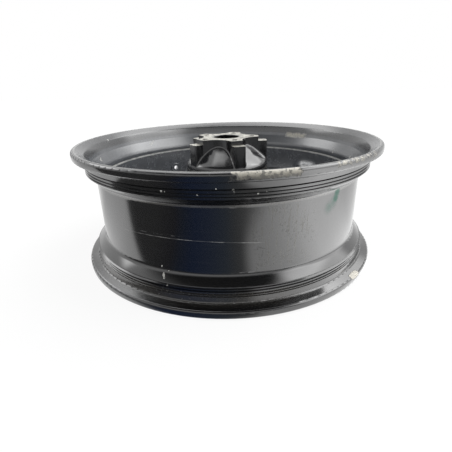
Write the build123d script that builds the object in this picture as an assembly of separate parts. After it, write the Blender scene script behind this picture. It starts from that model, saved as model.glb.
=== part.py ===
"""Motorcycle wheel rim: a 17 x 6.00 inch rear wheel cast in one piece from light alloy.

The wheel stands on its lower flange with its axle upright. The origin is on the axle line, in the
plane that the lower flange rests on, and +Z runs up the axle towards the brake disc side.
Lengths are in millimetres and angles in degrees, measured about +Z from -Y towards +X.
"""
from build123d import *
from math import radians, sin, sqrt, tan
import os

# Rim: the sizes of the tyre seat set the outside, and the walls set the inside
bead_seat_radius = 218.3
between_flanges = 152.4
flange_height = 13.7
flange_thickness = 11.7
flange_rounding = 4.0
flange_land = 1.2
flange_land_rounding = 0.8
flange_foot_lean = 1.6
flange_top_lean = 1.0
seat_root_fillet = 3.4
seat_width = 9.6
seat_taper = 1.2
well_depth = 14.8
well_foot_depth = 43.6
well_foot_fillet = 9.0
ramp_top_depth = 33.4
ramp_top_drop = 2.1
ramp_rounding = 1.5
ridge_height = 0.9
groove_width = 1.3
ridge_depths = (23.4, 27.6, 31.2)
well_wall = 4.5
flange_bevel_drop = 3.5
flange_bevel_depth = 7.1
flange_bevel_rounding = 3.0
seat_wall = 8.7
seat_wall_depth = 23.9
seat_wall_rounding = 7.0
shoulder_depth = 40.4
shoulder_fillet = 16.0
ledge_depth = 48.6
ledge_step = 1.2

# Hub: a cone with a round shoulder, and a star of five fins on it that carry the brake disc
spoke_count = 5
fin_angle = 18.0
hub_stands_proud = 1.4
hub_lower_gap = 14.0
hub_radius = 65.5
hub_neck_radius = 36.0
cone_top_drop = 11.2
cone_drop = 38.2
shoulder_radius = 12.0
fin_width = 18.5
fin_setback = 1.5
fin_edge_rounding = 3.0
fin_fillet = 4.5
disc_land_radius = 51.0
disc_land_step = 6.4
disc_bolt_circle = 80.0
disc_bolt_hole_radius = 4.2
disc_bolt_hole_depth = 26.0
bearing_seat_radius = 20.0
bearing_seat_depth = 14.0
bearing_mouth_chamfer = 0.8
axle_clearance_radius = 16.5

# Damper recess in the lower side of the hub, with a core above each pocket
recess_wall = 7.0
recess_depth = 46.0
recess_rib = 9.0
recess_corner = 6.0
recess_corner_share = 0.4
bearing_housing_wall = 11.0
core_depth = 46.0
core_margin = 5.0

# Spokes: they lean down from the hub to the middle of the rim
spoke_hub_width = 44.0
spoke_hub_height = 70.0
spoke_hub_top_drop = 57.0
spoke_rim_width = 28.0
spoke_rim_height = 32.0
spoke_end_height = 90.0
spoke_rounding = 9.0
spoke_root_radius = 20.0
spoke_hub_fillet = 10.0
spoke_sink = 1.5

# Valve hole, low in the well between two spokes
valve_angle = 213.7
valve_height = 92.0
valve_hole_radius = 4.15
valve_boss_radius = 9.5
valve_boss_height = 2.6
valve_boss_rounding = 1.2

# Worked out from the sizes above
overall_width = between_flanges + 2 * flange_thickness
flange_radius = bead_seat_radius + flange_height
well_radius = bead_seat_radius - well_depth
barrel_radius = well_radius - well_wall
hub_top = overall_width + hub_stands_proud
fin_top = hub_top - disc_land_step
fin_face = hub_radius - fin_setback
half_pitch = 180 / spoke_count
pitch = 2 * half_pitch
overcut = 1.0


def rim_half():
    """Corners of one half of the rim's section: radius, depth below the flange's face, rounding."""
    ramp_top_radius = bead_seat_radius - ramp_top_drop
    corners = [
        (well_radius, well_foot_depth, well_foot_fillet),
        (ramp_top_radius - ridge_height, ramp_top_depth, ramp_rounding),
    ]
    for depth in reversed(ridge_depths):
        corners += [
            (ramp_top_radius - ridge_height, depth + groove_width, 0),
            (ramp_top_radius + ridge_height, depth + groove_width / 3, 0),
            (ramp_top_radius + ridge_height, depth - groove_width / 3, 0),
            (ramp_top_radius - ridge_height, depth - groove_width, 0),
        ]
    seat_edge = flange_thickness + seat_width
    corners += [
        (bead_seat_radius - seat_taper, seat_edge, 0),
        (bead_seat_radius, flange_thickness + flange_foot_lean, seat_root_fillet),
        (flange_radius, flange_thickness - flange_top_lean, flange_rounding),
        (flange_radius, 0, flange_rounding),
        (flange_radius - flange_rounding - flange_land, 0, flange_land_rounding),
        (bead_seat_radius - flange_bevel_drop, flange_bevel_depth, flange_bevel_rounding),
        (bead_seat_radius - seat_wall, seat_wall_depth, seat_wall_rounding),
        (barrel_radius + ledge_step, shoulder_depth, shoulder_fillet),
        (barrel_radius + ledge_step, ledge_depth, 0),
        (barrel_radius, ledge_depth, 0),
    ]
    return corners


def rim_barrel():
    """The rim: one section, the same above and below its middle, turned about the axle."""
    half = rim_half()
    upper = [(radius, overall_width - depth) for radius, depth, rounding in half]
    lower = [(radius, depth) for radius, depth, rounding in reversed(half)]
    roundings = [rounding for radius, depth, rounding in half]
    outline = FilletPolyline(*upper, *lower, radius=roundings + roundings[::-1], close=True)
    section = Plane.XZ * make_face(outline)
    return revolve(section, Axis.Z)


def turned(angle):
    """Turns a form that was made along +X to its place round the axle."""
    return Rot(0, 0, angle - 90)


def upright(radius, low, high):
    """A cylinder on the axle line between two heights."""
    standing = (Align.CENTER, Align.CENTER, Align.MIN)
    return Pos(0, 0, low) * Cylinder(radius, high - low, align=standing)


def raised(plan, low, high):
    """A prism over a plan between two heights."""
    return extrude(Pos(0, 0, low) * plan, high - low)


def star_plan():
    """Plan of the five fins, the first along +X, with a round hollow between each two."""
    half_angle = radians(half_pitch)
    meeting = fin_width / 2 / sin(half_angle)
    far = 2 * hub_radius
    spread = (far - meeting) * tan(half_angle)
    hollow_radius = (hub_neck_radius - meeting) * sin(half_angle) / (1 - sin(half_angle))
    corners = [(meeting, 0), (far, spread), (far, -spread)]
    hollow = make_face(FilletPolyline(*corners, radius=[hollow_radius, 0, 0], close=True))
    plan = Rot(0, 0, half_pitch) * RegularPolygon(fin_face, spoke_count, major_radius=False)
    for index in range(spoke_count):
        plan -= Rot(0, 0, (index + 0.5) * pitch) * hollow
    tips = plan.vertices().filter_by(lambda corner: corner.center().length > fin_face)
    return fillet(tips, fin_edge_rounding)


def hub_cone():
    """The hub's round form: a cylinder, a shoulder and a cone, with its seam between two fins."""
    cone_top = hub_top - cone_top_drop
    cone_foot = hub_top - cone_drop
    slope = (cone_top - cone_foot) / (hub_radius - hub_neck_radius)
    inner_radius = hub_neck_radius - (fin_top - cone_top) / slope
    corners = [
        (0, hub_lower_gap, 0),
        (hub_radius, hub_lower_gap, 0),
        (hub_radius, cone_foot, shoulder_radius),
        (inner_radius, fin_top, 0),
        (0, fin_top, 0),
    ]
    points = [(radius, height) for radius, height, rounding in corners]
    roundings = [rounding for radius, height, rounding in corners]
    section = Plane.XZ * make_face(FilletPolyline(*points, radius=roundings, close=True))
    return Rot(0, 0, half_pitch) * revolve(section, Axis.Z)


def hub_body():
    """The hub before its holes are made, with its first fin along +X."""
    star = raised(star_plan(), hub_lower_gap + recess_depth, hub_top)
    above = hub_top + disc_land_step
    step = upright(2 * hub_radius, fin_top, above) - upright(disc_land_radius, fin_top, above)
    return blended(hub_cone(), star - step, fin_fillet)


def spoke():
    """A spoke along +X with flat tapering sides and rounded long edges, sunk into the barrel."""
    start = sqrt(hub_radius**2 - spoke_hub_width**2 / 4) - recess_wall
    end = barrel_radius + spoke_sink
    hub_middle = hub_top - spoke_hub_top_drop - spoke_hub_height / 2
    rim_middle = spoke_end_height - spoke_rim_height / 2
    ends = []
    for distance, middle, width, height in (
        (start, hub_middle, spoke_hub_width, spoke_hub_height),
        (end, rim_middle, spoke_rim_width, spoke_rim_height),
    ):
        across = Plane(origin=(distance, 0, middle), x_dir=(0, 1, 0), z_dir=(1, 0, 0))
        ends.append(across * Rectangle(width, height))
    body = loft(ends, ruled=True)
    crosswise = body.edges().group_by(Axis.X)
    long_edges = crosswise[len(crosswise) // 2]
    return fillet(long_edges, spoke_rounding)


def blended(first, second, radius):
    """Two joined forms with a round fillet along the line where they meet."""
    joined = first + second
    return fillet(new_edges(first, second, combined=joined), radius)


def recess_plan(margin):
    """Plan of the damper pockets, one between each two ribs, drawn in by a margin."""
    outer = hub_radius - recess_wall - margin
    inner = bearing_seat_radius + bearing_housing_wall + margin
    plan = Circle(outer) - Circle(inner)
    for index in range(spoke_count):
        rib = Pos(outer / 2, 0) * Rectangle(outer, recess_rib + 2 * margin)
        plan -= Rot(0, 0, (index + 0.5) * pitch) * rib
    roundest = recess_corner_share * (outer - inner)
    return fillet(plan.vertices(), min(recess_corner, roundest))


def damper_recess():
    """The pockets in the lower side of the hub, each with a narrower core above it."""
    middle = hub_lower_gap + recess_depth
    pockets = raised(recess_plan(0), hub_lower_gap - overcut, middle)
    cores = raised(recess_plan(core_margin), hub_lower_gap, middle + core_depth)
    return pockets + cores


def bearing_bore():
    """The axle's way through the hub, with a bearing seat at each end."""
    bore = upright(axle_clearance_radius, hub_lower_gap - overcut, hub_top + overcut)
    mouth_radius = bearing_seat_radius + bearing_mouth_chamfer
    upper = upright(bearing_seat_radius, hub_top - bearing_seat_depth, hub_top + overcut)
    seat_top = hub_lower_gap + bearing_seat_depth
    lower = upright(bearing_seat_radius, hub_lower_gap - overcut, seat_top)
    upper_mouth = Cone(bearing_seat_radius, mouth_radius, bearing_mouth_chamfer)
    lower_mouth = Cone(mouth_radius, bearing_seat_radius, bearing_mouth_chamfer)
    bore += upper + Pos(0, 0, hub_top - bearing_mouth_chamfer / 2) * upper_mouth
    bore += lower + Pos(0, 0, hub_lower_gap + bearing_mouth_chamfer / 2) * lower_mouth
    return bore


def disc_bolt_holes():
    """The threaded holes for the brake disc, one in each fin."""
    hole = upright(disc_bolt_hole_radius, hub_top - disc_bolt_hole_depth, hub_top + overcut)
    for index in range(spoke_count):
        yield Rot(0, 0, index * pitch) * Pos(disc_bolt_circle / 2, 0) * hole


def across_wall(radius, start, end):
    """A cylinder along +X at the height of the valve, between two distances from the axle."""
    lie = Pos(start, 0, valve_height) * Rot(0, 90, 0)
    return lie * Cylinder(radius, end - start, align=(Align.CENTER, Align.CENTER, Align.MIN))


def valve_boss():
    """The round pad inside the well that the valve is clamped on."""
    face = barrel_radius - valve_boss_height
    boss = across_wall(valve_boss_radius, face, barrel_radius + well_wall / 2)
    return fillet(boss.edges().sort_by(Axis.X)[0], valve_boss_rounding)


def wheel_rim():
    """The whole casting."""
    wheel = turned(fin_angle) * rim_barrel()
    wheel = wheel + turned(valve_angle) * valve_boss()
    arm = spoke()
    for index in range(spoke_count):
        placed = turned(fin_angle + (index + 0.5) * pitch) * arm
        wheel = blended(wheel, placed, spoke_root_radius)
    wheel = blended(wheel, turned(fin_angle) * hub_body(), spoke_hub_fillet)
    wheel -= turned(fin_angle) * damper_recess()
    wheel -= bearing_bore()
    for hole in disc_bolt_holes():
        wheel -= turned(fin_angle) * hole
    hole_start = barrel_radius - 2 * valve_boss_radius
    valve_hole = across_wall(valve_hole_radius, hole_start, flange_radius)
    return wheel - turned(valve_angle) * valve_hole


os.makedirs("parts", exist_ok=True)
casting = wheel_rim()
print("wheel_rim", len(casting.solids()), "solid,", round(casting.volume), "cubic mm")
export_step(casting, "parts/wheel_rim.step")
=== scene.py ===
# %% [markdown]
# A cast motorcycle wheel rim, lying on its lower flange, painted gloss black and well used.
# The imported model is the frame: every length here is in metres, in that frame, with the axle
# line along Z through the origin and the floor at z = 0. The shape is finished already, so
# this script adds the paint with its wear, the room and the camera, and moves nothing.

# %% Load the frame
import math

import bmesh
import bpy
from mathutils import Matrix, Vector


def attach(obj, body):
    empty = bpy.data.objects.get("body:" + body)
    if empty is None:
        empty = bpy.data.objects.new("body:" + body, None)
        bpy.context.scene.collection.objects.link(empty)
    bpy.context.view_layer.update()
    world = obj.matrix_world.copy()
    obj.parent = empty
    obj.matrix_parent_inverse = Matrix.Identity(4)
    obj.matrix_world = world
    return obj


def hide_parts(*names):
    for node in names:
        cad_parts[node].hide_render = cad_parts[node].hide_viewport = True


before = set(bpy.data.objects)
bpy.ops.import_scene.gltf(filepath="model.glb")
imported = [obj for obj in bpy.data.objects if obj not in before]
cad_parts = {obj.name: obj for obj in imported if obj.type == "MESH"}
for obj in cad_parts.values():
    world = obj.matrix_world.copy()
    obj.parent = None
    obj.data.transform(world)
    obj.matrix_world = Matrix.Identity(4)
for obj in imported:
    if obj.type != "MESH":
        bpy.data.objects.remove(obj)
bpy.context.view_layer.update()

MM = 0.001

# %% [markdown]
# The photograph was taken close to the wheel with a wide lens, a little above its upper
# flange. Such a lens spreads the near side, which is hard to match by eye, so the camera's
# place and its lens were worked out from the ellipses of the two flanges. The wheel's outline
# then falls where the photograph has it.

# %% Camera
CAMERA_BACK = 553.31 * MM
CAMERA_HEIGHT = 255.42 * MM
LOOK_DOWN = math.radians(22.869)
TURN = math.radians(-0.469)
ROLL = math.radians(1.582)
LENS = 26.948
SENSOR = 36.0

camera_data = bpy.data.cameras.new("camera")
camera_data.lens = LENS
camera_data.sensor_width = SENSOR
camera = bpy.data.objects.new("camera", camera_data)
bpy.context.collection.objects.link(camera)
forward = Vector((
    math.sin(TURN) * math.cos(LOOK_DOWN),
    math.cos(TURN) * math.cos(LOOK_DOWN),
    -math.sin(LOOK_DOWN),
))
level_right = Vector((math.cos(TURN), -math.sin(TURN), 0))
level_up = level_right.cross(forward)
right = level_right * math.cos(ROLL) - level_up * math.sin(ROLL)
up = level_right * math.sin(ROLL) + level_up * math.cos(ROLL)
turn = Matrix((right, up, -forward)).transposed().to_4x4()
camera.matrix_world = Matrix.Translation((0, -CAMERA_BACK, CAMERA_HEIGHT)) @ turn
bpy.context.scene.camera = camera
bpy.context.scene.view_settings.view_transform = "Standard"
print("camera at", tuple(camera.location))

# %% [markdown]
# Shader maths reads best as plain expressions. The nodes could be linked one by one, but a
# mask made of twenty Math nodes is hard to follow that way. A Number wraps one output socket,
# and each operator adds the Math node for it.

# %% Numbers


class Number:
    """One output of a node, with the usual operators."""

    def __init__(self, shop, socket):
        self.shop = shop
        self.socket = socket

    def maths(self, operation, *values):
        return self.shop.node("ShaderNodeMath", {"operation": operation}, dict(enumerate(values)))

    def __add__(self, other):
        return self.maths("ADD", self, other)

    def __sub__(self, other):
        return self.maths("SUBTRACT", self, other)

    def __rsub__(self, other):
        return self.maths("SUBTRACT", other, self)

    def __mul__(self, other):
        return self.maths("MULTIPLY", self, other)

    def __truediv__(self, other):
        return self.maths("DIVIDE", self, other)

    def __pow__(self, other):
        return self.maths("POWER", self, other)

    def __abs__(self):
        return self.maths("ABSOLUTE", self)

    def __or__(self, other):
        return self.maths("MAXIMUM", self, other)

    __radd__ = __add__
    __rmul__ = __mul__


# %% [markdown]
# A Shop holds the nodes of one material or of the world. Every node comes from Shop.node,
# which takes the node's type, its settings and what goes into its sockets. Colours go through
# a Mix node and directions through Vector Math, because a Math node would turn them grey.

# %% Nodes


class Shop:
    """The nodes of one material or of the world."""

    # A Mix node has sockets for each type of value, and these are the places of its colours.
    FIRST_COLOUR = 6
    SECOND_COLOUR = 7
    MIXED_COLOUR = 2

    def __init__(self, owner):
        owner.use_nodes = True
        self.nodes = owner.node_tree.nodes
        self.links = owner.node_tree.links
        self.nodes.clear()

    def node(self, kind, settings=None, inputs=None, output=0):
        """Adds a node: its settings first, then the values or links of its sockets."""
        node = self.nodes.new(kind)
        for name, value in (settings or {}).items():
            if name == "stops":
                self.set_stops(node.color_ramp, value)
            else:
                setattr(node, name, value)
        for name, value in (inputs or {}).items():
            if isinstance(value, Number):
                self.links.new(value.socket, node.inputs[name])
            else:
                node.inputs[name].default_value = value
        return Number(self, node.outputs[output]) if node.outputs else None

    def set_stops(self, ramp, stops):
        while len(ramp.elements) < len(stops):
            ramp.elements.new(1.0)
        for element, (place, colour) in zip(ramp.elements, stops):
            element.position = place
            element.color = (*colour, 1)

    def step(self, value, low, high):
        """0 below low, 1 above high and an even curve between them."""
        inputs = {"Value": value, "From Min": low, "From Max": high}
        return self.node("ShaderNodeMapRange", {"interpolation_type": "SMOOTHSTEP"}, inputs)

    def ramp(self, stops, place):
        """The colour at a place along a row of stops."""
        return self.node("ShaderNodeValToRGB", {"stops": stops}, {"Fac": place})

    def mix(self, share, first, second):
        """A colour between two colours."""
        first, second = ((*c, 1) if isinstance(c, tuple) else c for c in (first, second))
        inputs = {0: share, self.FIRST_COLOUR: first, self.SECOND_COLOUR: second}
        return self.node("ShaderNodeMix", {"data_type": "RGBA"}, inputs, self.MIXED_COLOUR)

    def parts(self, vector):
        """The three numbers of a vector."""
        inputs = {"Vector": vector}
        return [self.node("ShaderNodeSeparateXYZ", {}, inputs, axis) for axis in range(3)]

    def joined(self, x, y, z):
        """A vector of three numbers."""
        return self.node("ShaderNodeCombineXYZ", {}, {"X": x, "Y": y, "Z": z})

    def vector(self, operation, *values, output=0):
        settings = {"operation": operation}
        return self.node("ShaderNodeVectorMath", settings, dict(enumerate(values)), output)

    def scaled(self, vector, factor):
        """A vector made longer or shorter."""
        inputs = {0: vector, "Scale": factor}
        return self.node("ShaderNodeVectorMath", {"operation": "SCALE"}, inputs)

    def dot(self, vector, direction):
        return self.vector("DOT_PRODUCT", vector, direction, output="Value")


# %% [markdown]
# Wear follows the wheel's own shape. It could be drawn on a picture wrapped round the rim,
# but a round part is simpler to describe as a maker would measure it: by an angle round the
# axle, from the front towards the right, a radius and a height. Every mark below is a mask on
# those three numbers, so nothing has to be unwrapped and its edges stay sharp close up.

# %% Places on the wheel
WOBBLE_GRAIN = 2.5


def on_circle(angle, radius):
    """The x and y of a place at an angle, in degrees from the front towards the right."""
    turn = math.radians(angle)
    return radius * math.sin(turn), -radius * math.cos(turn)


class Places:
    """The round coordinates of a point on the wheel, in millimetres and degrees."""

    def __init__(self, shop):
        self.shop = shop
        metres = shop.node("ShaderNodeTexCoord", output="Object")
        self.point = shop.scaled(metres, 1 / MM)
        self.x, self.y, self.height = shop.parts(self.point)
        self.radius = (self.x * self.x + self.y * self.y) ** 0.5
        self.angle = self.x.maths("ARCTAN2", self.x, 0 - self.y) * math.degrees(1)
        facing = shop.parts(shop.node("ShaderNodeNewGeometry", output="Normal"))
        self.facing_up = facing[2]
        self.facing_out = (facing[0] * self.x + facing[1] * self.y) / self.radius

    def noise(self, size, detail=4.0, roughness=0.6, place=None, output=0):
        """Soft noise about 0.5, with grains of about the given size in millimetres."""
        inputs = {
            "Vector": place or self.point,
            "Scale": 1.0 / size,
            "Detail": detail,
            "Roughness": roughness,
        }
        return self.shop.node("ShaderNodeTexNoise", {}, inputs, output)

    def between(self, value, low, high, soft):
        """1 between two values, with soft ends."""
        step = self.shop.step
        return step(value, low - soft, low + soft) * (1 - step(value, high - soft, high + soft))

    def spots(self, places, wobble, soft):
        """Round marks with uneven edges, each given by its angle, radius, height and size."""
        colour = self.noise(WOBBLE_GRAIN, output="Color")
        grain = self.shop.vector("SUBTRACT", colour, (0.5, 0.5, 0.5))
        point = self.shop.vector("ADD", self.point, self.shop.scaled(grain, wobble))
        marks = None
        for angle, radius, height, size in places:
            centre = (*on_circle(angle, radius), height)
            away = self.shop.vector("DISTANCE", point, centre, output="Value")
            mark = 1 - self.shop.step(away, size * (1 - soft), size)
            marks = mark if marks is None else marks | mark
        return marks


# %% [markdown]
# The paint is a hard black gloss over cast aluminium. It is nearly black where it faces
# something dark and grey where it faces a white wall, so the surroundings do most of the
# work, and the paint itself needs a strong clean reflection and very little colour. The whole
# finish is one material, because the casting is one piece, and it grows in coats: each mark
# is laid over what lies under it, as on the real wheel.

# %% The finish starts
BLACK = (0.0045, 0.0045, 0.0050)
WIDTH = 175.8
FIN_TOP = 170.8
HUB_REACH = 68.0
BARREL_START = (190, 195)
GLOSS = 0.11
GLOSS_VARIES = 0.04

finish = bpy.data.materials.new("painted_casting")
shop = Shop(finish)
at = Places(shop)
fine = at.noise(3.0)
broad = at.noise(22.0, 5.0)
outside = shop.step(at.facing_out, -0.05, 0.1)
inside = (1 - outside) * shop.step(at.radius, *BARREL_START)
on_hub = 1 - shop.step(at.radius, HUB_REACH, HUB_REACH + 1)


class Coats:
    """The finish so far: its colour, its roughness and its height over the metal."""

    def __init__(self, colour, rough):
        self.colour = colour
        self.rough = rough
        self.raised = 0
        self.count = 1

    def lay(self, mask, colour, rough, raised=0.0):
        """Covers a mask with a colour, a roughness and a height in millimetres."""
        self.colour = shop.mix(mask, self.colour, colour)
        self.rough = mask * rough + (1 - mask) * self.rough
        if raised:
            self.raised = mask * raised + self.raised
        self.count += 1


coats = Coats(BLACK, GLOSS + fine * GLOSS_VARIES)
print("paint with", len(shop.nodes), "nodes so far")

# %% [markdown]
# Dust greys the paint. It lies thickest on the wall inside the rim, below the ledge, where
# nothing wipes it, and thinly on what faces up. At the front the lower seat has kept some
# clay, and on the left the lower flange some dust. Even dust would look like grey paint, so
# two noises of different grain keep it uneven.

# %% Dust
DUST = (0.062, 0.065, 0.070)
FILM = (0.125, 0.133, 0.146)
CLAY = (0.070, 0.064, 0.054)
LEDGE = WIDTH - 48.6
SHOULDER = 157.0
UPPER_HALF = (100, 150)
LOW_SEAT = (13, 27)
SEAT_CLAY = (-60, 25)
LOW_FLANGE = (219, 233)
FLANGE_TOP = (8, 20)
FLANGE_DUST = (-60, -24)

uneven = 0.75 + fine * 0.5
above_ledge = shop.step(at.height, LEDGE - 2, LEDGE + 1)
below_shoulder = 1 - shop.step(at.height, SHOULDER - 2, SHOULDER + 2)
coats.lay(inside * above_ledge * (0.20 + broad * 0.8) * uneven, DUST, rough=0.24)
coats.lay(inside * above_ledge * below_shoulder * (0.35 + broad * 0.8) * uneven, FILM, rough=0.24)
coats.lay(inside * (1 - above_ledge) * (0.55 + broad * 0.7) * uneven, FILM, rough=0.28)
facing_up = shop.step(at.facing_up, 0.1, 0.9)
coats.lay(facing_up * shop.step(at.height, *UPPER_HALF) * broad * uneven * 0.55, DUST, rough=0.26)
low_seat = at.between(at.height, *LOW_SEAT, soft=2) * at.between(at.angle, *SEAT_CLAY, soft=10)
coats.lay(outside * low_seat * fine * 0.8, CLAY, rough=0.4)
low_flange = at.between(at.radius, *LOW_FLANGE, soft=1) * (1 - shop.step(at.height, *FLANGE_TOP))
flange_dust = outside * low_flange * at.between(at.angle, *FLANGE_DUST, soft=8) * fine
coats.lay(flange_dust * 0.8, DUST, rough=0.4)
print("dust laid,", coats.count, "coats")

# %% [markdown]
# Three edges are marked. A fine pale line along the ledge inside and along the crest of the upper
# flange is painted highlight, where these narrow edges catch the light, with a little worn paint
# in it. Where the seat's ramp ends, tyres and levers have worn the paint to a thin brown line.
# The edges could be found by how sharp the shape is, but here only three of them are marked,
# so each one is a narrow band at its own height or radius, broken up by noise.

# %% Worn edges and painted highlights
WORN_AND_HIGHLIGHT = (0.42, 0.42, 0.41)
PALE_HIGHLIGHT = (0.62, 0.62, 0.60)
RUBBED = (0.11, 0.105, 0.095)
CREST = 226.8
RAMP_END = (129.5, 132.5)

broken = shop.step(at.noise(9.0, 6.0, 0.7), 0.34, 0.56)
# Painted highlight: a pale line where the ledge catches the light, with some worn paint.
ledge_highlight = inside * at.between(at.height, LEDGE - 1.4, LEDGE + 1.2, soft=0.4)
coats.lay(ledge_highlight * (0.45 + broken * 0.5), PALE_HIGHLIGHT, rough=0.4)
# Painted highlight along the crest of the upper flange, with some worn paint.
crest_highlight = at.between(at.radius, CREST - 0.7, CREST + 0.8, soft=0.3)
crest_highlight = crest_highlight * shop.step(at.height, WIDTH - 1.5, WIDTH - 1.0)
coats.lay(crest_highlight * broken * 0.85, WORN_AND_HIGHLIGHT, rough=0.35)
ramp_line = outside * at.between(at.height, *RAMP_END, soft=0.7) * (0.4 + broad)
coats.lay(ramp_line * 0.7, RUBBED, rough=0.35)
print("edges worn,", coats.count, "coats")

# %% [markdown]
# The upper flange has scraped along a kerb at the front on the right. The paint is gone there
# and the metal is rough and beige. Past the scrape only the crest is worn, in patches. The
# lower flange has one such chip on the right. Torn paint has an uneven edge, so two noises
# shift the place before the mask is cut: a small one for its teeth and a large one for the
# bays between them.

# %% Scrapes
SCRAPE_TONES = (
    (0.00, (0.060, 0.055, 0.044)),
    (0.30, (0.170, 0.160, 0.130)),
    (0.62, (0.350, 0.330, 0.275)),
    (0.92, (0.570, 0.545, 0.480)),
)
SCRAPE_DIRT = (0.045, 0.041, 0.034)
LIP = (228.0, 229.0)
SCRAPE_FOOT = (167.0, 168.6)
SCRAPE_ROUND = (1.6, 19.0)
TONES_FROM = 167.5
TONES_TALL = 8.5
WORN_LIP = (228.2, 229.2)
WORN_FOOT = (170.0, 172.0)
WORN_ROUND = (31, 51)
FLANGE_CHIP = (
    # angle, radius, height, size
    (46.0, 229.6, 11.4, 5.2),
    (49.2, 229.8, 11.0, 5.6),
    (47.6, 229.6, 11.2, 6.0),
)

ragged = (at.noise(5.0, 3.0, 0.5) - 0.5) * 9
torn = (at.noise(14.0, 3.0, 0.5) - 0.5) * 16
lip = outside * shop.step(at.radius, *LIP)
scrape = lip * shop.step(at.height + ragged + torn * 0.3, *SCRAPE_FOOT)
scrape = scrape * at.between(at.angle + torn * 0.35, *SCRAPE_ROUND, soft=0.4)
worn_on = shop.step(at.radius, *WORN_LIP) * shop.step(at.height + ragged, *WORN_FOOT)
worn_on = worn_on * at.between(at.angle + torn * 0.4, *WORN_ROUND, soft=1.5)
worn_on = worn_on * shop.step(at.noise(8.0, 4.0, 0.6), 0.42, 0.56)
flange_chip = at.spots(FLANGE_CHIP, wobble=2.0, soft=0.2)
scrape = scrape | worn_on * 0.8 | flange_chip
gritty = shop.step(at.noise(3.6, 2.0, 0.5) - (at.height - 171) * 0.012, 0.50, 0.58)
gritty = gritty * (1 - flange_chip)
tone_place = (at.height - TONES_FROM) / TONES_TALL + (fine - 0.5) * 0.7 + flange_chip * 20
coats.lay(scrape, shop.ramp(SCRAPE_TONES, tone_place), rough=0.55, raised=-0.25)
coats.lay(scrape * gritty * 0.8, SCRAPE_DIRT, rough=0.6, raised=-0.2)
print("flange scraped,", coats.count, "coats")

# %% [markdown]
# Gravel has knocked small chips out of the paint on the barrel and on the wall inside. Chips
# strewn by chance would fall anywhere, so each one has its own place here, and a fine noise
# eats into it, because a round chip looks like a drop of paint.

# %% Chips
CHIPPED = (0.60, 0.60, 0.56)
CHIPS = (
    # angle, radius, height, size
    (-24.3, 203.5, 48.5, 1.5), (-21.5, 204.4, 43.9, 0.9), (-23.3, 207.0, 41.0, 1.6),
    (-23.1, 208.2, 39.6, 1.9), (-22.8, 209.4, 38.4, 1.7), (-22.5, 211.0, 37.0, 1.2),
    (-20.6, 216.7, 31.8, 1.3), (-19.5, 215.2, 150.4, 1.5), (-18.4, 215.6, 150.0, 0.9),
    (-8.5, 217.1, 148.0, 1.5), (-8.3, 217.1, 150.4, 1.1), (-3.2, 217.2, 155.2, 0.9),
    (1.5, 215.9, 153.4, 1.7), (1.7, 216.4, 151.0, 1.3), (8.5, 217.1, 148.2, 1.2),
    (11.1, 215.4, 149.4, 0.9), (-104.6, 215.2, 168.8, 2.0), (-103.8, 214.2, 165.6, 1.2),
    (-133.4, 207.3, 148.0, 2.6), (-134.6, 209.0, 151.0, 1.6), (-132.4, 206.0, 145.5, 2.0),
    (-89.6, 205.7, 145.1, 2.6), (-90.6, 207.0, 148.0, 1.6), (-131.5, 199.4, 125.8, 1.4),
    (107.6, 201.0, 136.2, 2.4), (90.6, 202.1, 138.7, 2.4), (108.2, 203.0, 141.0, 1.4),
)

chips = at.spots(CHIPS, wobble=3.0, soft=0.35) * shop.step(at.noise(2.2, 2.0, 0.5), 0.34, 0.50)
coats.lay(chips, CHIPPED, rough=0.5, raised=-0.15)
print(len(CHIPS), "chips,", coats.count, "coats")

# %% [markdown]
# The well is the deep middle of the rim. Tyre irons have left a long scratch and a short one
# that follow its round, and a short dark tick crosses it on the right. A scratch is too thin
# to model, so each is a line at a height that changes with the angle, and noise opens gaps in
# it where the iron jumped.

# %% Scratches on the well
DARK_MARK = (0.01, 0.01, 0.01)
WELL = (203, 206)
LONG_SCRATCH = (-41, 11)
LONG_SCRATCH_TOP = 88.7
LONG_SCRATCH_MIDDLE = -18
LONG_SCRATCH_BOW = 0.005
SHORT_SCRATCH = (-34, -17)
SHORT_SCRATCH_HEIGHT = 93.2
SHORT_SCRATCH_SLANT = 0.05
TICK = (9.4, 12.4)
TICK_HEIGHT = 79.2
TICK_FOOT = 9.5
TICK_SLANT = 1.36


def thin_line(away, core, edge):
    """1 on a line and 0 past its edge, from how far a place is away from the line."""
    return 1 - shop.step(abs(away), core, edge)


well = outside * at.between(at.radius, *WELL, soft=0.4)
bow = at.angle - LONG_SCRATCH_MIDDLE
bow = bow * bow * LONG_SCRATCH_BOW
scratch = thin_line(at.height - (LONG_SCRATCH_TOP - bow), core=0.15, edge=0.55)
scratch = scratch * at.between(at.angle, *LONG_SCRATCH, soft=1.5)
scratch = scratch * (0.25 + 0.75 * shop.step(at.noise(22.0, 3.0), 0.40, 0.60))
coats.lay(well * scratch * 0.6, WORN_AND_HIGHLIGHT, rough=0.45)
slant = at.angle * SHORT_SCRATCH_SLANT
scratch = thin_line(at.height - SHORT_SCRATCH_HEIGHT - slant, core=0.1, edge=0.4)
scratch = scratch * at.between(at.angle, *SHORT_SCRATCH, soft=2.0)
scratch = scratch * shop.step(at.noise(6.0, 4.0), 0.48, 0.60)
coats.lay(well * scratch * 0.35, WORN_AND_HIGHLIGHT, rough=0.45)
slant = (at.angle - TICK_FOOT) * TICK_SLANT
tick = thin_line(at.height - TICK_HEIGHT + slant, core=0.3, edge=0.9)
tick = tick * at.between(at.angle, *TICK, soft=0.3)
coats.lay(well * tick * 0.9, DARK_MARK, rough=0.5)
print("well scratched,", coats.count, "coats")

# %% [markdown]
# High on the right of the well is a smear of green ink, strong above and fading downwards.
# Four large soft spots that overlap give such a shape without any hard edge.

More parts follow.
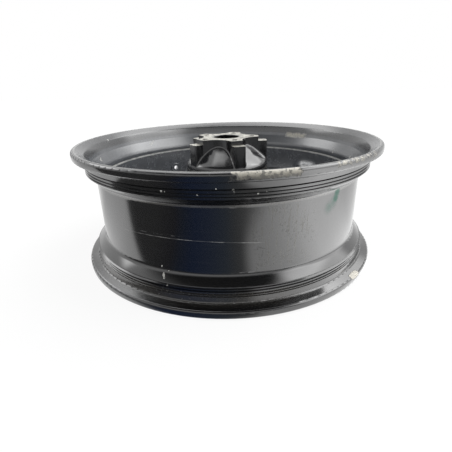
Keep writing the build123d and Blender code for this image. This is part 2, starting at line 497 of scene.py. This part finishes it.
# %% Green smear
GREEN = (0.020, 0.085, 0.060)
SMEAR = ((41.6, 203.5, 128.0, 8.5), (41.0, 203.5, 121.0, 8.5))
FADING = ((39.8, 203.5, 116.0, 13.0), (37.6, 203.5, 112.0, 13.0))

smear = at.spots(SMEAR, wobble=2.0, soft=0.7)
fading = at.spots(FADING, wobble=3.0, soft=0.95)
smear = well * (smear | fading * 0.55)
coats.lay(smear, GREEN, rough=0.5)
print("smear laid,", coats.count, "coats")

# %% [markdown]
# Dirty water ran down the right of the well and dried there as streaks with dark specks of
# grit. A cloth has wiped dust round the well, and a little has spattered elsewhere. A streak
# is noise that is squeezed one way: for a run it changes with the angle and hardly with the
# height, and for a wipe it is the other way round.

# %% Dried water
STREAKED = (0.085, 0.080, 0.068)
GRIT = (0.03, 0.028, 0.024)
RUNS_ROUND = (9, 30)
RUNS_TALL = (52, 128)
GRIT_ROUND = (8, 32)
GRIT_TALL = (46, 128)

run_down = shop.joined(at.angle * 1.1, at.height * 0.035, fine * 0.4)
runs = shop.step(at.noise(1.0, 5.0, 0.65, run_down), 0.50, 0.66)
runs = runs * at.between(at.angle, *RUNS_ROUND, soft=4)
runs = runs * at.between(at.height, *RUNS_TALL, soft=8)
coats.lay(well * runs * (0.50 + fine * 0.7), STREAKED, rough=0.6)
specks = shop.step(at.noise(3.4, 2.0, 0.5), 0.54, 0.62)
specks = specks * shop.step(at.noise(26.0, 3.0), 0.42, 0.58)
specks = specks * at.between(at.angle, *GRIT_ROUND, soft=4)
specks = specks * at.between(at.height, *GRIT_TALL, soft=8)
coats.lay(well * specks * 0.6, GRIT, rough=0.6)
round_about = shop.joined(at.angle * 0.05, at.height * 0.9, broad * 0.5)
wiped = shop.step(at.noise(1.0, 4.0, 0.7, round_about), 0.52, 0.70)
coats.lay(well * wiped * broad * 0.22, DUST, rough=0.3)
spatter = shop.step(at.noise(4.5, 3.0, 0.8), 0.64, 0.72)
spatter = spatter * shop.step(at.noise(30.0, 2.0), 0.45, 0.6)
coats.lay(outside * spatter * 0.25, STREAKED, rough=0.45)
print("water dried,", coats.count, "coats")

# %% [markdown]
# On the wall inside, at the back on the right, a patch of pale crust has dried on. It could
# be modelled as lumps, but it hardly stands out from the wall, so it is a patch with an
# uneven edge, a soft grain and a little height in the bump.

# %% Crust
CRUST = (0.60, 0.57, 0.49)
CRUST_ROUND = (131.5, 143.5)
CRUST_TALL = (150, 158)

crust = inside * at.between(at.angle + torn * 0.3, *CRUST_ROUND, soft=1.5)
crust = crust * at.between(at.height + torn * 0.5, *CRUST_TALL, soft=2.0)
crust = crust * (0.30 + shop.step(at.noise(3.0, 2.0, 0.5), 0.30, 0.60) * 0.6)
coats.lay(crust, CRUST, rough=0.7, raised=0.4)
print("crust laid,", coats.count, "coats")

# %% [markdown]
# The top of the hub was machined bare for the brake disc. It has tarnished to a warm grey,
# with dark grime where the disc's edge sat and round the bore, and the tool has left fine
# rings. The rings are noise along the radius alone, so they run round the axle as the tool
# did.

# %% Bare metal
BARE = (0.60, 0.585, 0.52)
GRIME = (0.075, 0.068, 0.055)
LAND_REACH = 51.0
BORE_GRIME = (21, 27)
RINGS_PER_MM = 2.2

machined = on_hub * shop.step(at.height, FIN_TOP - 0.6, FIN_TOP - 0.3)
machined = machined * shop.step(at.facing_up, 0.8, 0.95)
coats.lay(machined, BARE, rough=0.38)
dirty = shop.step(at.noise(6.0, 6.0, 0.75), 0.46, 0.60)
near_edge = at.between(at.radius, LAND_REACH - 5, LAND_REACH, soft=1.5) * shop.step(fine, 0.40, 0.6)
near_bore = 1 - shop.step(at.radius + ragged, *BORE_GRIME)
grime = machined * (dirty * 0.85 | near_edge * 0.7 | near_bore * 0.7)
coats.lay(grime, GRIME, rough=0.55)
along_radius = {"W": at.radius * RINGS_PER_MM}
tool_rings = shop.node("ShaderNodeTexNoise", {"noise_dimensions": "1D"}, along_radius)
tool_rings = machined * tool_rings
print("metal bared,", coats.count, "coats")

# %% [markdown]
# The coats now go into one Principled shader. Gloss paint is smooth but never flat, so its
# faint orange peel, the depth of the marks and the tool's rings share one Bump node. The
# index of refraction is higher than a real paint's, because that makes the reflection as
# strong as the photograph shows it while the paint stays black.

# %% The paint
PEEL_DEPTH = 0.006
RING_DEPTH = 0.02
BARE_METAL = 0.45
INK_SHEEN = 0.6
STRONG_GLOSS = 1.95

orange_peel = at.noise(1.6, 2.0)
relief = orange_peel * PEEL_DEPTH + coats.raised + tool_rings * RING_DEPTH
bump = shop.node("ShaderNodeBump", {}, {"Strength": 1.0, "Distance": MM, "Height": relief})
bare = machined * (1 - grime) | scrape * (1 - gritty) * 0.5
paint = shop.node(
    "ShaderNodeBsdfPrincipled",
    {},
    {
        "Base Color": coats.colour,
        "Roughness": coats.rough,
        "Metallic": bare * BARE_METAL | smear * INK_SHEEN,
        "IOR": STRONG_GLOSS,
        "Normal": bump,
    },
)
shop.node("ShaderNodeOutputMaterial", {}, {"Surface": paint})
print("finish of", len(shop.nodes), "nodes")

# %% [markdown]
# A turned rim shines evenly all round, but the triangles of the model run unevenly round it,
# and gloss shows that as a ripple. More triangles would hide it at a high cost, so the shape
# stays as it is and only its shading is mended: corners that lie on the same ring and face
# the same way share one slope.

# %% Even shading
TURNED_FROM = 190 * MM
ALIKE = math.cos(math.radians(12))
FEWEST_CORNERS = 100
SIDEWAYS = 0.05


def even_rings(mesh):
    """Makes the normals of each turned ring alike, so that gloss runs evenly round the rim."""
    normals = [corner.vector.copy() for corner in mesh.corner_normals]
    rings = {}
    for loop in mesh.loops:
        place = mesh.vertices[loop.vertex_index].co
        radius = math.hypot(place.x, place.y)
        if radius < TURNED_FROM:
            continue
        outward = Vector((place.x, place.y, 0)) / radius
        normal = normals[loop.index]
        if abs(normal.cross(outward).z) < SIDEWAYS:
            ring = rings.setdefault((round(radius / MM, 1), round(place.z / MM, 1)), [])
            ring.append((loop.index, outward, Vector((normal.dot(outward), normal.z))))
    print(len(rings), "places for rings")
    for ring in rings.values():
        while ring:
            alike = [corner for corner in ring if corner[2].dot(ring[0][2]) > ALIKE]
            ring[:] = [corner for corner in ring if corner[2].dot(ring[0][2]) <= ALIKE]
            if len(alike) < FEWEST_CORNERS:
                continue
            slope = sum((corner[2] for corner in alike), Vector((0, 0))).normalized()
            for index, outward, _ in alike:
                normals[index] = outward * slope.x + Vector((0, 0, slope.y))
    mesh.normals_split_custom_set(normals)


# %% [markdown]
# The casting comes from the frame as loose triangles, which would shade as flat facets. A
# copy of it is merged into one skin, its flat faces are joined, and its edges stay sharp only
# where the real casting has an edge. The copy then stands for the frame's own node.

# %% The casting's skin
DOUBLES_WITHIN = 0.002 * MM
FLAT_WITHIN = math.radians(0.5)
ANY_SHAPE = math.radians(180)
SHARP_ANGLE = math.radians(38)


def merged_copy(node, name):
    """A copy of a frame node, joined into one skin with its round walls shaded smooth."""
    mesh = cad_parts[node].data.copy()
    piece = bpy.data.objects.new(name, mesh)
    bpy.context.collection.objects.link(piece)
    skin = bmesh.new()
    skin.from_mesh(mesh)
    bmesh.ops.remove_doubles(skin, verts=skin.verts, dist=DOUBLES_WITHIN)
    bmesh.ops.join_triangles(
        skin,
        faces=skin.faces,
        cmp_sharp=False,
        cmp_seam=False,
        cmp_uvs=False,
        cmp_vcols=False,
        cmp_materials=False,
        angle_face_threshold=FLAT_WITHIN,
        angle_shape_threshold=ANY_SHAPE,
    )
    for edge in skin.edges:
        paired = len(edge.link_faces) == 2
        edge.smooth = paired and edge.calc_face_angle(0) < SHARP_ANGLE
    for face in skin.faces:
        face.smooth = True
    skin.to_mesh(mesh)
    skin.free()
    even_rings(mesh)
    return piece


wheel = merged_copy("wheel_rim", "wheel_casting")
wheel.data.materials.clear()
wheel.data.materials.append(finish)
print("casting", len(wheel.data.polygons), "faces")

# %% [markdown]
# The room is plain white to the eye and to dull surfaces. Gloss paint shows whatever stands
# round it, so only reflections see the studio: soft windows to the right, behind on the left
# and overhead. Lamps could stand there, but a window that is part of the sky is placed by its
# direction alone and lights nothing else.

# %% Windows
WINDOWS = (
    # angle, elevation, half width, half height, softness, strength
    (80, 27, 0.55, 0.42, 0.12, 1.6),
    (82, 43, 0.36, 0.22, 0.08, 1.7),
    (122, 42, 0.30, 0.30, 0.06, 2.0),
    (-114, 33, 0.30, 0.17, 0.06, 2.6),
    (180, 57, 0.60, 0.26, 0.08, 1.8),
    (-111, 77.4, 0.20, 0.20, 0.03, 1.5),
)
LEAST_DEPTH = 0.05


def window(shop, view, angle, elevation, wide, tall, soft):
    """1 inside a square window in a direction, with soft edges. Its half sizes are tangents."""
    middle = Vector((*on_circle(angle, math.cos(elevation)), math.sin(elevation)))
    side = Vector((-middle.y, middle.x, 0)).normalized()
    above = middle.cross(side).normalized()
    depth = shop.dot(view, tuple(middle))
    across = abs(shop.dot(view, tuple(side))) / (depth | LEAST_DEPTH)
    upward = abs(shop.dot(view, tuple(above))) / (depth | LEAST_DEPTH)
    within = 1 - shop.step(across, wide - soft, wide + soft)
    within = within * (1 - shop.step(upward, tall - soft, tall + soft))
    return within * shop.step(depth, 0.0, 0.1)


print(len(WINDOWS), "windows")

# %% [markdown]
# The photographer's side of the room is darker in reflections: a little dimmer all over, most
# of all low down and high up. Without that the front of the wheel would turn grey. The camera
# and dull surfaces don't see any of it, because a Light Path node tells which kind of ray
# asks.

# %% The room
PLAIN_LIGHT = 0.6
FRONT_DIMMED = 0.2
LOW_FRONT_DIMMED = 0.8
HIGH_FRONT_DIMMED = 0.95

world = bpy.data.worlds.new("room")
bpy.context.scene.world = world
shop = Shop(world)
view = shop.node("ShaderNodeTexCoord", output="Generated")
_, far_view, up_view = shop.parts(view)
ahead = shop.step(0 - far_view, -0.3, 0.5)
low_down = 1 - shop.step(up_view, 0.0, 0.3)
high_up = shop.step(up_view, 0.5, 0.75)
studio = 1.0 - ahead * FRONT_DIMMED
studio = studio * (1 - LOW_FRONT_DIMMED * ahead * low_down)
studio = studio * (1 - HIGH_FRONT_DIMMED * high_up * shop.step(0 - far_view, 0.02, 0.14))
for angle, elevation, wide, tall, soft, strength in WINDOWS:
    shape = window(shop, view, angle, math.radians(elevation), wide, tall, soft)
    studio = studio + strength * shape
glossy = shop.node("ShaderNodeLightPath", output="Is Glossy Ray")
seen = shop.node("ShaderNodeLightPath", output="Is Camera Ray")
strength = PLAIN_LIGHT + seen * (1 - PLAIN_LIGHT) + glossy * (studio - PLAIN_LIGHT)
room = shop.node("ShaderNodeBackground", {}, {"Color": (1, 1, 1, 1), "Strength": strength})
shop.node("ShaderNodeOutputWorld", {}, {"Surface": room})
print("room of", len(shop.nodes), "nodes")

# %% [markdown]
# The wheel lies on a pale sheet that keeps its soft shadow. Reflections see the sheet
# differently too: it grows brighter towards the right, and in front of the wheel lies a dark
# cloth, which keeps the gloss black there. Both are rows of stops round the wheel, because
# each side of the rim shows the floor on its own side.

# %% Floor paint
BRIGHTEST = 3.0
FLOOR_GLOW = (
    (-180, 1.3), (-150, 0.9), (-125, 1.1), (-105, 0.9), (-90, 1.15), (-75, 1.35), (-55, 1.3),
    (0, 1.1), (18, 1.3), (28, 1.65), (38, 2.1), (46, 2.6), (55, 2.88), (69, 2.6), (80, 2.2),
    (92, 1.6), (110, 1.2), (135, 1.0), (180, 1.3),
)
CLOTH_GLOW = (
    (-80, (0.13, 0.13, 0.13)), (-45, (0.11, 0.11, 0.11)), (-33, (0.07, 0.07, 0.08)),
    (-27, (0.05, 0.07, 0.12)), (-20, (0.045, 0.075, 0.17)), (-10, (0.08, 0.11, 0.19)),
    (-2, (0.12, 0.15, 0.20)), (4, (0.20, 0.21, 0.22)), (10, (0.30, 0.30, 0.30)),
)
CLOTH_SPREAD = (360, 600)
CLOTH_NEAR_EDGE = (218, 240)
CLOTH_SLANT = 0.19
SHEET = (0.9, 0.9, 0.9, 1)
SEEN_GLOW = 1.05
SEEN_WHITE = 0.85

floor_paint = bpy.data.materials.new("floor")
shop = Shop(floor_paint)
at = Places(shop)
round_place = (at.angle + 180) / 360


def stops_round(glow):
    """The stops of a ramp round the wheel, from angles and how bright the floor is there."""
    stops = []
    for angle, bright in glow:
        tint = bright if isinstance(bright, tuple) else (bright, bright, bright)
        stops.append(((angle + 180) / 360, tuple(value / BRIGHTEST for value in tint)))
    return stops


bright = shop.ramp(stops_round(FLOOR_GLOW), round_place)
dark = shop.ramp(stops_round(CLOTH_GLOW), round_place)
spread = shop.step(at.radius, *CLOTH_SPREAD)
cloth = shop.step(0 - at.y - at.x * CLOTH_SLANT, *CLOTH_NEAR_EDGE)
cloth = cloth * (1 - shop.step(at.angle, 6 + spread * 8, 14 + spread * 30))
mirrored = shop.mix(cloth, bright, dark)
mirrored = shop.node("ShaderNodeEmission", {}, {"Color": mirrored, "Strength": BRIGHTEST})
plain = shop.node("ShaderNodeBsdfDiffuse", {}, {"Color": SHEET})
white = shop.node("ShaderNodeEmission", {}, {"Color": (1, 1, 1, 1), "Strength": SEEN_GLOW})
seen = shop.node("ShaderNodeLightPath", output="Is Camera Ray")
glossy = shop.node("ShaderNodeLightPath", output="Is Glossy Ray")
both = shop.node("ShaderNodeMixShader", {}, {0: seen * SEEN_WHITE, 1: plain, 2: white})
both = shop.node("ShaderNodeMixShader", {}, {0: glossy, 1: both, 2: mirrored})
shop.node("ShaderNodeOutputMaterial", {}, {"Surface": both})
print("floor paint of", len(shop.nodes), "nodes")

# %% [markdown]
# The sheet itself is one wide square, a hair under the wheel so that the two don't touch.

# %% Floor
FLOOR_REACH = 8.0
FLOOR_DROP = 0.2 * MM

corners = [(x, y, -FLOOR_DROP) for x, y in ((-1, -1), (1, -1), (1, 1), (-1, 1))]
corners = [(x * FLOOR_REACH, y * FLOOR_REACH, z) for x, y, z in corners]
floor_mesh = bpy.data.meshes.new("floor")
floor_mesh.from_pydata(corners, [], [(0, 1, 2, 3)])
floor_mesh.materials.append(floor_paint)
floor = bpy.data.objects.new("floor", floor_mesh)
bpy.context.collection.objects.link(floor)
print("floor", 2 * FLOOR_REACH, "m wide")

# %% [markdown]
# One wide soft light stands high on the right. A lamp with a place would leave the far floor
# darker, so this is a sun, which lights dull surfaces alike wherever they are, and the floor
# stays as white as the room. Reflections don't see it, or it would add a spot to the gloss.

# %% Soft light
SUN_STRENGTH = 1.6
SUN_WIDTH = math.radians(50)
SUN_HEADING = Vector((-0.75, -0.25, -1.0))

light_data = bpy.data.lights.new("soft_light", "SUN")
light_data.energy = SUN_STRENGTH
light_data.angle = SUN_WIDTH
soft_light = bpy.data.objects.new("soft_light", light_data)
bpy.context.collection.objects.link(soft_light)
soft_light.rotation_euler = SUN_HEADING.to_track_quat("-Z", "Y").to_euler()
soft_light.visible_glossy = False
print("soft light of strength", light_data.energy)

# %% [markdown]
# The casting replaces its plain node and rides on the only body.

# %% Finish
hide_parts("wheel_rim")
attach(wheel, "root")
bpy.context.view_layer.update()
